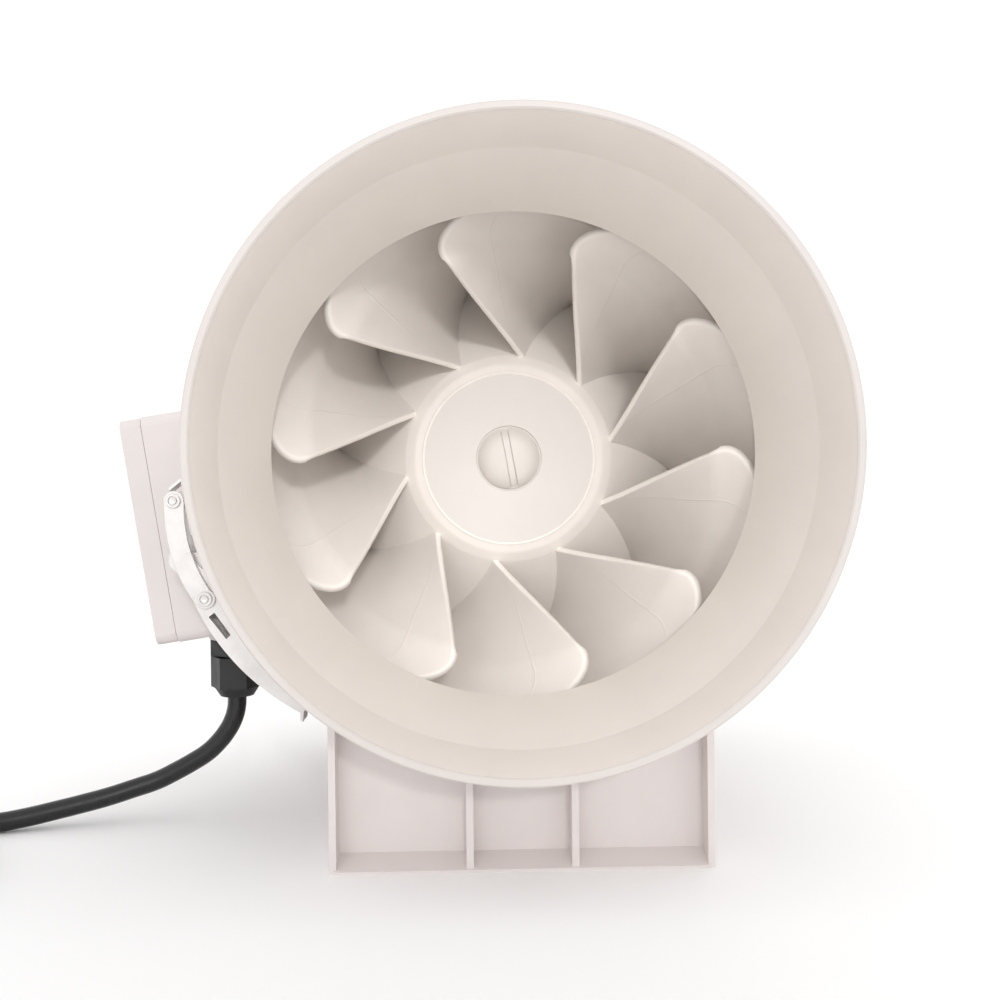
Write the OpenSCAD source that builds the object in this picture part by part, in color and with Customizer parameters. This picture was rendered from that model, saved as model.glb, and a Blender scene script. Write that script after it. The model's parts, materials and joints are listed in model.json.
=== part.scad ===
// Inline mixed-flow duct fan for 250 mm duct: two duct sections, a removable motor section
// between two toggle-latch V-clamps, a support base, a terminal box and a mains lead.
// +Y runs along the airflow from the inlet to the outlet, +Z is up, and the origin is at
// the centre of the base's bolt pattern, on the underside of its foot.

/* [Duct] */
// Outside diameter of both spigots
spigot_d = 248; // [240:1:256]
// Overall length from inlet rim to outlet rim
fan_length = 385; // [380:1:400]
// Height of the fan axis above the foot
axis_z = 175; // [170:1:190]

/* [Impeller] */
// Number of blades
blade_count = 10; // [7:1:11]
// Diameter of the motor shaft
shaft_d = 10; // [8:1:12]
// Turn of the impeller from its reference position, in degrees
impeller_turn = 82.5; // [0:0.5:359]

/* [Clamps] */
// Angle of the latch's upper rivet below the horizontal
latch_top_a = 8.3; // [6:0.1:10]
// Angle of the latch's lower rivet below the horizontal
latch_low_a = 25.4; // [24:0.1:27]
// Angle of the lever's pivot below the horizontal
lever_pivot_a = 18; // [17:0.1:19]

/* [Base] */
// Width of the base over its outer ribs
base_w = 161; // [150:1:180]
// Distance between the base's bolt holes across the fan
bolt_x = 120; // [100:1:130]
// Distance between the base's bolt holes along the fan
bolt_y = 160; // [140:1:180]
// Diameter of the base's bolt holes
bolt_hole_d = 6.5; // [5:0.5:8]

/* [Terminal box] */
// Tilt of the box's outward direction below the horizontal
box_tilt = 8.9; // [6:0.1:11]
// Length of the box along the fan
box_len = 140; // [138:1:144]
// Height of the box around the casing
box_h = 104.4; // [100:0.2:106]

/* [Mains lead] */
// Outside diameter of the lead
cord_d = 9; // [8:0.5:9]

/* [Hidden] */
$fn = 96;

ivory = [0.90, 0.86, 0.82];
cap_white = [0.94, 0.91, 0.88];
zinc = [0.72, 0.72, 0.72];
steel = [0.62, 0.63, 0.65];
copper = [0.72, 0.40, 0.22];
nylon_black = [0.08, 0.08, 0.09];
rubber_grey = [0.25, 0.25, 0.26];
gasket_white = [0.86, 0.85, 0.83];
brass = [0.78, 0.62, 0.30];

// Casing radii and stations. A station is a distance behind the inlet rim.
spigot_r = spigot_d / 2;
rim_wall = 2.2;
body_r = 136.5;
body_bore_r = 133.5;
flange_r = 139.5;
joint_s = 83;
throat_r = 109.5;
throat_s = 102;
cone_start_r = 120.6;
cone_start_s = 42;
fan_mid = fan_length / 2;

// Impeller stations and radii
hub_face_s = 172;
hub_face_r = 44;
hub_back_s = 226;
hub_back_r = 98;
root_in_r = 53.4;
root_in_s = 176.5;
root_out_s = 222;
tip_in_r = 115;
tip_in_s = 108;
tip_out_r = 128.5;
tip_out_s = 205;
blade_t = 2.4;
hub_wall = 3;

// Motor pod
pod_r = 99.5;
pod_wall = 2.4;
pod_s0 = 229;
pod_s1 = 290;
vane_count = 11;
shroud_out_r = 133.4;
shroud_in_r = 131;
plate_s = 233;
plate_t = 4;
can_r = 56;
can_s1 = 286;
running_gap = 0.05;

// Clamp and latch
ring_r = 143.4;
ring_t = 1.2;
clamp_half = 7;
gap_top_a = 15.2;
gap_low_a = 26;
latch_top_r = 147.7;
latch_low_r = 147;
lever_pivot_r = 150.5;
latch_turn = 0.7;
latch_pin_r = 2;
pin_gap = 0.05;
link_w = 8.4;
link_arc_r = 66.7;
link_arc_at = 82.8;
link_t = 1.4;
lever_t = 1.2;
strap_half = 4.8;
lever_end_a = 50.7;

// Base
foot_s = 58;
web_s = 70.5;
web_t = 3;
foot_t = 5.5;
rib_t = 3;
rib_x = [-79, -22, 22, 79];
saddle_r = 136.2;
saddle_t = 3;
rail_h = 16;
foot_lip_t = 1.2;

// Terminal box, in its own frame: x outward from the fan axis, y up around the casing
box_s0 = 108;
lead_s = 241.5;
lead_r = 3;
box_wall = 2.5;
box_y0 = -59.6;
box_top_x = 165;
lid_top_x = 174.8;
gasket_t = 0.3;
lid_seat_x = 173.2;
box_floor_x = 141.5;
box_corner = 5;
gland_x = -135;
gland_y = -46;
gland_floor_z = 79.4;
gland_seat_z = 88;
boss_h = 9.5;
thread_r = 9;
gland_af = 22;
cord_exit_z = 60;

// The lead's route, from the gland's mouth down to the surface and along it to the coil
cord_route = [
    [-135, -46, 60], [-135.6, -46, 53], [-137.6, -46, 47], [-140.5, -46, 42],
    [-145, -46, 36.5], [-150, -46, 32], [-157, -46, 27.6], [-165, -46, 23.3],
    [-174, -46.3, 19], [-185, -48, 15.7], [-197, -51, 12.5], [-209, -54, 10],
    [-221, -57.2, 7.8], [-232, -60.5, 6], [-243.5, -64, 4.8], [-257, -68.2, 4.6],
    [-271, -72.3, 4.6], [-286, -75.8, 4.8], [-301, -78.8, 5.2], [-315.5, -82.8, 5.7]
];
// The last stretch, from the top of the coil to the plug
tail_route = [
    [-312.5, -91, 14.7], [-326, -97, 14.7], [-340, -103.5, 14.6], [-352.5, -112.5, 14.4],
    [-363, -123.5, 14], [-371, -136, 13.4], [-376.5, -149.5, 12.8]
];
coil_x = -294;
coil_y = -142;
coil_mid_r = 54;
coil_lift = 1.2;
plug_axis_z = 12.8;
plug_heading = 250;
relief_len = 26;
plug_len = 34;
prong_len = 18;

// ---------------------------------------------------------------- helpers

// Places a shape drawn along +Z from the inlet rim onto the fan axis
module fan() {
    translate([0, -fan_mid, axis_z]) rotate([-90, 0, 0]) children();
}

// Places a clamp or latch part, with the latch at its turn on the fan
module clamp_fan() {
    fan() rotate([0, 0, latch_turn]) children();
}

// The same at the rear joint
module rear_clamp_fan() {
    fan() rear() rotate([0, 0, latch_turn]) children();
}

// Mirrors a fan shape end for end
module rear() {
    translate([0, 0, fan_length]) mirror([0, 0, 1]) children();
}

// Turns a fan shape drawn on its +X side to an angle below the horizontal on the left side
module left_at(a) {
    rotate([0, 0, 180 - a]) children();
}

// A point at radius r and angle a below the horizontal, on the left of the fan
function left_pt(r, a) = [-r * cos(a), r * sin(a)];

// Straight line between two values
function mix(a, b, t) = a + (b - a) * t;

// Rectangle with round corners, from exact squares and circles
module round_rect(w, h, r) {
    square([w - 2 * r, h], center = true);
    square([w, h - 2 * r], center = true);
    for (x = [-1, 1], y = [-1, 1])
        translate([x * (w / 2 - r), y * (h / 2 - r)]) circle(r, $fn = 48);
}

// Sector of a circle between two angles below the horizontal on the left side
module left_sector(r, a0, a1) {
    steps = 24;
    polygon(concat([[0, 0]], [for (i = [0:steps]) left_pt(r, mix(a0, a1, i / steps))]));
}

// Tube swept along a list of points, closed at both ends
module swept_tube(path, r, sides = 10) {
    n = len(path);
    function unit(v) = v / norm(v);
    function heading(i) = unit(path[min(i + 1, n - 1)] - path[max(i - 1, 0)]);
    function side(i) = unit(cross(heading(i), [0, 1, 0.001]));
    function over(i) = cross(heading(i), side(i));
    ring_points = [
        for (i = [0:n - 1], k = [0:sides - 1])
            path[i] + r * (cos(360 * k / sides) * side(i) + sin(360 * k / sides) * over(i))
    ];
    walls = [
        for (i = [0:n - 2], k = [0:sides - 1])
            let (k2 = (k + 1) % sides)
                [i * sides + k, (i + 1) * sides + k, (i + 1) * sides + k2, i * sides + k2]
    ];
    ends = [
        [for (k = [0:sides - 1]) k],
        [for (k = [sides - 1:-1:0]) (n - 1) * sides + k]
    ];
    polyhedron(ring_points, concat(walls, ends));
}

// ---------------------------------------------------------------- casing

// Duct section: spigot, flared outside and clamp flange, with or without the inner nozzle
module duct_section(nozzle) {
    outside = [
        [spigot_r - rim_wall, 0.8], [spigot_r - rim_wall + 0.8, 0], [spigot_r - 0.6, 0],
        [spigot_r, 0.6], [spigot_r, 44], [body_r - 0.5, 68], [body_r - 0.5, 76],
        [flange_r, 77.6], [flange_r, joint_s], [body_bore_r, joint_s], [body_bore_r, 69.5]
    ];
    cone = [
        [cone_start_r + 1.6, 47.4], [throat_r + 2.5, throat_s], [throat_r + 0.8, throat_s + 0.8],
        [throat_r, throat_s], [cone_start_r, cone_start_s]
    ];
    flare = [[spigot_r - rim_wall, 45]];
    rotate_extrude($fn = 180) polygon(concat(outside, nozzle ? cone : flare));
}

module inlet_section() {
    color(ivory) fan() duct_section(true);
}

module outlet_section() {
    color(ivory) fan() rear() duct_section(false);
}

module motor_casing() {
    far_s = fan_length - joint_s;
    color(ivory) fan() difference() {
        rotate_extrude($fn = 180) polygon([
            [body_bore_r, joint_s + 1.5], [flange_r - 3, joint_s + 1.5], [flange_r - 3, joint_s],
            [flange_r, joint_s], [flange_r, joint_s + 5.4], [body_r, joint_s + 7],
            [body_r, far_s - 7], [flange_r, far_s - 5.4], [flange_r, far_s],
            [flange_r - 3, far_s], [flange_r - 3, far_s - 1.5], [body_bore_r, far_s - 1.5]
        ]);
        lead_hole(6, 128, 140);
        for (y = [-34, 34], s = [14, box_len - 14])
            left_at(box_tilt) translate([120, y, box_s0 + s])
                rotate([0, 90, 0]) cylinder(r = 1.7, h = 20, $fn = 32);
    }
}

// Round hole along the motor lead's path, between two distances from the fan axis
module lead_hole(r, x0, x1) {
    left_at(box_tilt) translate([x0, 0, lead_s]) rotate([0, 90, 0])
        cylinder(r = r, h = x1 - x0, $fn = 48);
}

// Rubber rings between the flanges, in the casing's rebates
module flange_seals() {
    module seal() {
        translate([0, 0, joint_s]) difference() {
            cylinder(r = flange_r - 3, h = 1.5, $fn = 180);
            translate([0, 0, -1]) cylinder(r = body_bore_r, h = 4, $fn = 180);
        }
    }
    color(rubber_grey) fan() {
        seal();
        rear() seal();
    }
}

// Conical liner that the blade tips run in
module impeller_shroud() {
    color(ivory) fan() rotate_extrude($fn = 180) polygon([
        [117.4, 104.5], [124, 146], [shroud_in_r, 206], [shroud_in_r, pod_s0],
        [shroud_out_r, pod_s0], [shroud_out_r, 204], [126.4, 146], [119.8, 104.5]
    ]);
}

// ---------------------------------------------------------------- motor

// One guide vane: an arc along the flow, drawn from the pod to the outer ring
module guide_vane() {
    arc_r = 95;
    vane_len = 52;
    translate([pod_r - 1, 0, pod_s0 + 4]) rotate([90, 0, 90])
        linear_extrude(shroud_in_r - pod_r + 2) intersection() {
            translate([arc_r, vane_len]) difference() {
                circle(arc_r + 1.1);
                circle(arc_r - 1.1);
            }
            translate([-2, 0]) square([30, vane_len]);
        }
}

module vane_ring() {
    vane_turn = 15.3;
    color(ivory) fan() difference() {
        union() {
            for (walls = [[pod_r, pod_wall], [shroud_out_r, shroud_out_r - shroud_in_r]])
                translate([0, 0, pod_s0]) difference() {
                    cylinder(r = walls[0], h = pod_s1 - pod_s0, $fn = 180);
                    translate([0, 0, -1])
                        cylinder(r = walls[0] - walls[1], h = pod_s1 - pod_s0 + 2, $fn = 180);
                }
            for (i = [0:vane_count - 1])
                rotate([0, 0, vane_turn + i * 360 / vane_count]) guide_vane();
        }
        lead_hole(lead_r + 0.2, 90, 140);
    }
}

// Disc that closes the front of the pod and carries the motor
module motor_plate() {
    color(ivory) fan() translate([0, 0, plate_s]) difference() {
        union() {
            cylinder(r = pod_r - pod_wall, h = plate_t);
            translate([0, 0, plate_t]) cylinder(r = 22, h = 4);
        }
        translate([0, 0, -1]) cylinder(r = shaft_d / 2 + 2, h = plate_t + 2);
        translate([0, 0, plate_t - 2]) cylinder(r = 13, h = 12);
        for (i = [0:3]) rotate([0, 0, 45 + 90 * i]) translate([46, 0, -1])
            cylinder(r = 2.1, h = plate_t + 2, $fn = 32);
    }
}

module motor_can() {
    color(zinc) fan() translate([0, 0, plate_s + plate_t]) difference() {
        cylinder(r = can_r, h = can_s1 - plate_s - plate_t - 3);
        translate([0, 0, -1]) cylinder(r = can_r - 1.5, h = can_s1 - plate_s - plate_t);
        translate([0, 0, -plate_s - plate_t]) lead_hole(lead_r + 0.2, can_r - 4, can_r + 4);
    }
}

module motor_end_cap() {
    color(zinc) fan() translate([0, 0, can_s1 - 3]) difference() {
        union() {
            cylinder(r = can_r, h = 3);
            cylinder(r = 16, h = 8);
        }
        translate([0, 0, -1]) cylinder(r = 13, h = 8);
        translate([0, 0, 2]) cylinder(r = shaft_d / 2 + 1, h = 8);
    }
}

module stator_core() {
    teeth = 24;
    color(steel) fan() translate([0, 0, 247]) difference() {
        cylinder(r = can_r - 1.6, h = 26);
        translate([0, 0, -1]) cylinder(r = 32, h = 28);
        for (i = [0:teeth - 1]) rotate([0, 0, i * 360 / teeth])
            translate([30, -1.6, -1]) cube([14, 3.2, 28]);
    }
}

module stator_windings() {
    color(copper) fan() for (s = [242.5, 273.2]) translate([0, 0, s]) difference() {
        cylinder(r = 50, h = 4.3);
        translate([0, 0, -1]) cylinder(r = 36, h = 8);
    }
}

module motor_bearings() {
    module bearing() {
        difference() {
            cylinder(r = 13, h = 6);
            translate([0, 0, -1]) cylinder(r = shaft_d / 2 + running_gap, h = 8);
        }
    }
    color(steel) fan() {
        translate([0, 0, plate_s + 2]) bearing();
        translate([0, 0, can_s1 - 4 + 0.01]) bearing();
    }
}

module motor_screws() {
    color(zinc) fan() for (i = [0:3])
        rotate([0, 0, 45 + 90 * i]) translate([46, 0, plate_s - 2.4]) {
            cylinder(r = 3.8, h = 2.4, $fn = 32);
            cylinder(r = 1.95, h = 9, $fn = 32);
        }
}

// Dome that closes the rear of the pod
module tail_cone() {
    color(ivory) fan() translate([0, 0, pod_s1]) difference() {
        rotate_extrude() polygon([
            [pod_r, 0], [pod_r - 3, 14], [84, 32], [62, 46], [30, 54], [0, 55],
            [0, 52.6], [29.5, 51.6], [61, 43.6], [82, 30], [pod_r - 5.5, 13], [pod_r - 2.4, 0]
        ]);
        for (i = [0:2]) rotate([0, 0, 30 + 120 * i]) translate([90, 0, 4])
            rotate([0, 90, 0]) cylinder(r = 1.6, h = 12, $fn = 32);
    }
}

module tail_screws() {
    color(zinc) fan() translate([0, 0, pod_s1 + 4]) for (i = [0:2])
        rotate([0, 0, 30 + 120 * i]) translate([92, 0, 0]) rotate([0, 90, 0]) {
            cylinder(r = 1.5, h = 8, $fn = 32);
            translate([0, 0, 7.5]) cylinder(r = 3, h = 1.3, $fn = 32);
        }
}

// ---------------------------------------------------------------- impeller

// Station of the hub's cone at a radius
function cone_s(r) = root_in_s + (r - root_in_r) * (root_out_s - root_in_s) / (hub_back_r - root_in_r);

module impeller_hub() {
    color(ivory) fan() difference() {
        rotate_extrude() polygon([
            [0, hub_face_s], [hub_face_r, hub_face_s], [hub_face_r + 1, hub_face_s + 0.8],
            [root_in_r, cone_s(root_in_r)], [hub_back_r, cone_s(hub_back_r)],
            [hub_back_r, hub_back_s], [hub_back_r - hub_wall, hub_back_s],
            [hub_back_r - hub_wall - 1, cone_s(hub_back_r) + 2],
            [root_in_r - 2, cone_s(root_in_r) + 4], [hub_face_r - 2, hub_face_s + 5],
            [11, hub_face_s + 5], [11, 206], [0, 206]
        ]);
        translate([0, 0, hub_face_s - 4]) cylinder(r = shaft_d / 2 + 0.02, h = 60);
    }
}

// Angle of the leading edge ahead of its root, at a radius, easing back to round the tip
function lead_a(r) = 34 * (1 - exp((root_in_r - r) / 28)) - 7.8 * pow(max(0, r - 94) / 16, 2);
// Station of the leading edge at a radius
function lead_s(r) = r < 94
    ? mix(root_in_s, 112, (r - root_in_r) / 40.6)
    : mix(112, tip_in_s, (r - 94) / 21);

// Middle surface of a blade: u runs from the leading to the trailing edge, v from root to tip
function blade_mid(u, v) =
    let (
        r_lead = mix(root_in_r, tip_in_r, v),
        r = mix(r_lead, mix(hub_back_r, tip_out_r, v), u),
        a = mix(lead_a(r_lead), -16.2 - 27 * v, u),
        ease = u + 0.45 * v * (u * u - u),
        s = mix(lead_s(r_lead), mix(root_out_s, tip_out_s, v), ease)
    )
    [r * cos(a), -r * sin(a), s];

// One side of a blade, offset from its middle surface by half its thickness
function blade_side(u, v, dir) =
    let (
        e = 0.01,
        du = blade_mid(min(u + e, 1), v) - blade_mid(max(u - e, 0), v),
        dv = blade_mid(u, v + e) - blade_mid(u, v - e),
        n = cross(du, dv),
        t = blade_t * (0.55 + 0.45 * sin(180 * min(1, u * 1.6 + 0.1)))
    )
    blade_mid(u, v) + dir * n / norm(n) * t / 2;

module blade(nu = 10, nv = 7) {
    v0 = -0.03;
    cols = nv + 1;
    rows = nu + 1;
    pts = [
        for (dir = [-1, 1], i = [0:nu], j = [0:nv])
            blade_side(i / nu, mix(v0, 1, j / nv), dir)
    ];
    function at(side, i, j) = side * rows * cols + i * cols + j;
    faces = concat(
        [for (i = [0:nu - 1], j = [0:nv - 1], t = [0, 1]) t == 0
            ? [at(0, i, j), at(0, i, j + 1), at(0, i + 1, j + 1)]
            : [at(0, i, j), at(0, i + 1, j + 1), at(0, i + 1, j)]],
        [for (i = [0:nu - 1], j = [0:nv - 1], t = [0, 1]) t == 0
            ? [at(1, i, j), at(1, i + 1, j + 1), at(1, i, j + 1)]
            : [at(1, i, j), at(1, i + 1, j), at(1, i + 1, j + 1)]],
        [for (i = [0:nu - 1], t = [0, 1], j = [0, nv]) let (
            a = at(0, i, j), b = at(0, i + 1, j), c = at(1, i + 1, j), d = at(1, i, j))
            j == 0 ? (t == 0 ? [a, b, c] : [a, c, d]) : (t == 0 ? [a, c, b] : [a, d, c])],
        [for (j = [0:nv - 1], t = [0, 1], i = [0, nu]) let (
            a = at(0, i, j), b = at(0, i, j + 1), c = at(1, i, j + 1), d = at(1, i, j))
            i == 0 ? (t == 0 ? [a, c, b] : [a, d, c]) : (t == 0 ? [a, b, c] : [a, c, d])]
    );
    polyhedron(pts, faces);
}

module impeller_blades() {
    color(ivory) fan() for (i = [0:blade_count - 1])
        rotate([0, 0, -impeller_turn - i * 360 / blade_count]) blade();
}

// Screw cap on the end of the shaft, with a coin slot
module impeller_cap() {
    cap_r = 15.5;
    dome_r = 24;
    color(cap_white) fan() translate([0, 0, hub_face_s - 7]) difference() {
        intersection() {
            cylinder(r = cap_r, h = 7);
            translate([0, 0, dome_r]) sphere(dome_r);
        }
        rotate([0, 0, -100]) translate([-cap_r, -2.1, -1]) cube([2 * cap_r, 4.2, 4]);
        translate([0, 0, 4]) cylinder(r = shaft_d / 2 + 0.02, h = 8);
    }
}

module motor_shaft() {
    color(steel) fan() translate([0, 0, hub_face_s - 3]) cylinder(r = shaft_d / 2, h = 117);
}

module motor_rotor() {
    color(steel) fan() translate([0, 0, 246]) difference() {
        cylinder(r = 31.5, h = 28);
        translate([0, 0, -1]) cylinder(r = shaft_d / 2 + 0.01, h = 30);
    }
}

// ---------------------------------------------------------------- base

// One leg: foot, web, gusset ribs and saddle, at the inlet end
module base_leg() {
    y0 = foot_s - fan_mid;
    y1 = web_s - fan_mid;
    intersection() {
        union() {
            translate([-base_w / 2, y1, 0]) cube([base_w, web_t, axis_z]);
            for (x = rib_x) translate([x - rib_t / 2, y0 + 1, 0]) cube([rib_t, y1 - y0, axis_z]);
            translate([0, y1 - 4, axis_z]) rotate([-90, 0, 0])
                cylinder(r = saddle_r + saddle_t, h = 4 + web_t, $fn = 180);
        }
        translate([-base_w / 2, y0 - 1, 0]) cube([base_w, 40, 100]);
        translate([0, y0, axis_z]) rotate([-90, 0, 0]) difference() {
            cylinder(r = 300, h = 40);
            translate([0, 0, -1]) cylinder(r = saddle_r, h = 50, $fn = 180);
        }
    }
}

// Foot plate, sloping down to a thin lip at each end
module base_plate(plate_l) {
    slope_l = web_s - foot_s;
    difference() {
        linear_extrude(foot_t) round_rect(base_w, plate_l, 4);
        for (m = [0, 1]) mirror([0, m, 0]) translate([-base_w, -plate_l / 2, 0])
            rotate([90, 0, 90]) linear_extrude(2 * base_w) polygon([
                [-1, foot_lip_t], [0, foot_lip_t], [slope_l, foot_t], [slope_l, foot_t + 5],
                [-1, foot_t + 5]
            ]);
    }
}

module base() {
    holes = [for (x = [-1, 1], y = [-1, 1]) [x * bolt_x / 2, y * bolt_y / 2]];
    plate_l = 2 * (fan_mid - foot_s);
    color(ivory) difference() {
        union() {
            base_plate(plate_l);
            base_leg();
            mirror([0, 1, 0]) base_leg();
            for (x = [-1, 1]) translate([x * (base_w - rib_t) / 2 - rib_t / 2, web_s - fan_mid, 0])
                cube([rib_t, 2 * (fan_mid - web_s), rail_h]);
        }
        for (p = holes) translate([p[0], p[1], -1]) cylinder(d = bolt_hole_d, h = foot_t + 2, $fn = 48);
    }
}

// ---------------------------------------------------------------- clamps

// V-band with an open gap at the latch
module clamp_ring() {
    translate([0, 0, joint_s]) rotate([0, 0, 180 - gap_top_a])
        rotate_extrude(angle = 360 - (gap_low_a - gap_top_a), $fn = 180) polygon([
            [ring_r, -5], [ring_r, 5], [137.4, 8.9], [137, 7.8], [ring_r - ring_t, 4.3],
            [ring_r - ring_t, -4.3], [137, -7.8], [137.4, -8.9]
        ]);
}

// Cradle on the ring's upper end, which the link's upper rivet pulls on
module clamp_catch() {
    r0 = ring_r + 0.05;
    translate([0, 0, joint_s - strap_half]) linear_extrude(2 * strap_half) {
        intersection() {
            difference() {
                circle(r0 + 1.2);
                circle(r0);
            }
            left_sector(200, 4.6, 14.5);
        }
        polygon([left_pt(r0 + 0.2, 4.6), left_pt(r0 + 1.2, 5.2), left_pt(149.9, 6.6),
                 left_pt(150.4, 6.1), left_pt(r0 + 1.2, 4.6)]);
        polygon([left_pt(r0 + 0.6, 9.45), left_pt(148.8, 9.45), left_pt(148.8, 9.9),
                 left_pt(r0 + 0.6, 9.9)]);
    }
}

// Strap on the ring's lower end, with the eye that holds the lever's pivot pin
module clamp_bracket() {
    r0 = ring_r + 0.05;
    translate([0, 0, joint_s - strap_half]) linear_extrude(2 * strap_half) difference() {
        union() {
            intersection() {
                difference() {
                    circle(r0 + 1.2);
                    circle(r0);
                }
                left_sector(200, lever_pivot_a - 0.4, 36);
            }
            polygon([
                left_pt(r0 + 0.2, lever_pivot_a + 2.6),
                left_pt(lever_pivot_r + 1.5, lever_pivot_a + 0.9),
                left_pt(lever_pivot_r - 1, lever_pivot_a - 1),
                left_pt(r0 + 0.2, lever_pivot_a - 0.4)
            ]);
            translate(left_pt(lever_pivot_r, lever_pivot_a)) circle(3.4, $fn = 48);
        }
        translate(left_pt(lever_pivot_r, lever_pivot_a)) circle(latch_pin_r, $fn = 48);
    }
}

module pivot_pin() {
    left_at(lever_pivot_a) translate([lever_pivot_r, 0, joint_s - clamp_half - 0.1])
        cylinder(r = latch_pin_r, h = 2 * clamp_half + 0.2, $fn = 48);
}

// The pair of curved plates outside the lever
module link_plates() {
    module plate() {
        linear_extrude(link_t) {
            rotate([0, 0, -(latch_top_a + latch_low_a) / 2]) translate([-link_arc_at, 0])
                intersection() {
                    difference() {
                        circle(link_arc_r + link_w / 2, $fn = 180);
                        circle(link_arc_r - link_w / 2, $fn = 180);
                    }
                    left_sector(100, -19, 19);
                }
            translate(left_pt(latch_top_r, latch_top_a)) circle(link_w / 2, $fn = 48);
            translate(left_pt(latch_low_r, latch_low_a)) circle(link_w / 2, $fn = 48);
        }
    }
    for (s = [joint_s - clamp_half - 0.4 - link_t, joint_s + clamp_half + 0.4])
        translate([0, 0, s]) difference() {
            plate();
            for (p = [[latch_top_r, latch_top_a], [latch_low_r, latch_low_a]])
                translate([-p[0] * cos(p[1]), p[0] * sin(p[1]), -1])
                    cylinder(r = latch_pin_r, h = link_t + 2, $fn = 48);
        }
}

// The link's two cross rivets, with formed heads
module link_rivets() {
    half = clamp_half + 0.4 + link_t;
    for (p = [[latch_top_r, latch_top_a], [latch_low_r, latch_low_a]])
        left_at(p[1]) translate([p[0], 0, joint_s]) {
            translate([0, 0, -half]) cylinder(r = latch_pin_r, h = 2 * half, $fn = 48);
            for (m = [0, 1]) mirror([0, 0, m]) translate([0, 0, half]) difference() {
                cylinder(r1 = 2.8, r2 = 2.5, h = 1.2, $fn = 48);
                translate([0, 0, 0.5]) cylinder(r = 1.5, h = 1, $fn = 48);
            }
        }
}

// Outer radius of the lever at an angle
function lever_r(a) = 152.3 - 7.1 * pow(max(0, a - 26) / (lever_end_a - 26), 1.85);

// Channel-shaped hand lever: two side flanges and a web, ending in a finger tab
module lever() {
    steps = 24;
    a0 = 20.5;
    outer = [for (i = [0:steps]) let (a = mix(a0, lever_end_a, i / steps)) left_pt(lever_r(a), a)];
    web_in = [for (i = [steps:-1:0]) let (a = mix(a0, lever_end_a, i / steps))
        left_pt(lever_r(a) - lever_t, a)];
    flange_in = [for (i = [steps:-1:0]) let (a = mix(a0, lever_end_a, i / steps))
        left_pt(143, a)];
    holes = [[lever_pivot_r, lever_pivot_a], [latch_low_r, latch_low_a]];
    translate([0, 0, joint_s - clamp_half]) linear_extrude(2 * clamp_half)
        polygon(concat(outer, web_in));
    translate([0, 0, joint_s - clamp_half]) linear_extrude(2 * clamp_half) polygon([
        left_pt(144, lever_end_a), left_pt(145.2, lever_end_a - 0.4),
        left_pt(147.8, lever_end_a + 0.5), left_pt(147.8, lever_end_a + 1)
    ]);
    for (s = [joint_s - clamp_half, joint_s + clamp_half - lever_t]) translate([0, 0, s])
        difference() {
            linear_extrude(lever_t) difference() {
                union() {
                    polygon(concat(outer, flange_in));
                    polygon([
                        left_pt(152.3, a0 + 0.5), left_pt(155.5, lever_pivot_a + 0.6),
                        left_pt(150, lever_pivot_a), left_pt(145.6, lever_pivot_a + 1),
                        left_pt(143, a0 + 0.5)
                    ]);
                    translate(left_pt(lever_pivot_r, lever_pivot_a)) circle(5.4, $fn = 48);
                }
                polygon([left_pt(146.5, 28.1), left_pt(149.5, 28.3), left_pt(147.9, 32.9),
                         left_pt(145.4, 32.7)]);
            }
            for (p = holes) translate([-p[0] * cos(p[1]), p[0] * sin(p[1]), -1])
                cylinder(r = latch_pin_r + pin_gap, h = lever_t + 2, $fn = 48);
        }
}

module front_clamp_ring() { color(zinc) clamp_fan() clamp_ring(); }
module front_clamp_catch() { color(zinc) clamp_fan() clamp_catch(); }
module front_clamp_bracket() { color(zinc) clamp_fan() clamp_bracket(); }
module front_pivot_pin() { color(zinc) clamp_fan() pivot_pin(); }
module front_link_plates() { color(zinc) clamp_fan() link_plates(); }
module front_link_rivets() { color(zinc) clamp_fan() link_rivets(); }
module front_lever() { color(zinc) clamp_fan() lever(); }
module rear_clamp_ring() { color(zinc) rear_clamp_fan() clamp_ring(); }
module rear_clamp_catch() { color(zinc) rear_clamp_fan() clamp_catch(); }
module rear_clamp_bracket() { color(zinc) rear_clamp_fan() clamp_bracket(); }
module rear_pivot_pin() { color(zinc) rear_clamp_fan() pivot_pin(); }
module rear_link_plates() { color(zinc) rear_clamp_fan() link_plates(); }
module rear_link_rivets() { color(zinc) rear_clamp_fan() link_rivets(); }
module rear_lever() { color(zinc) rear_clamp_fan() lever(); }

// ---------------------------------------------------------------- terminal box

// The box's own frame: x outward, y around the casing, z along the fan from the box's front
module box_frame() {
    fan() left_at(box_tilt) translate([0, 0, box_s0]) children();
}

// Slab of the box's outline between two distances from the fan axis, inset by a wall
module box_slab(x0, x1, inset = 0) {
    translate([x0, box_y0 + box_h / 2, box_len / 2]) rotate([0, 90, 0])
        linear_extrude(x1 - x0)
            round_rect(box_len - 2 * inset, box_h - 2 * inset, max(1, box_corner - inset));
}

lid_screw_spots = [for (y = [box_y0 + 7, box_y0 + box_h - 7], z = [7, box_len - 7]) [y, z]];

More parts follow.
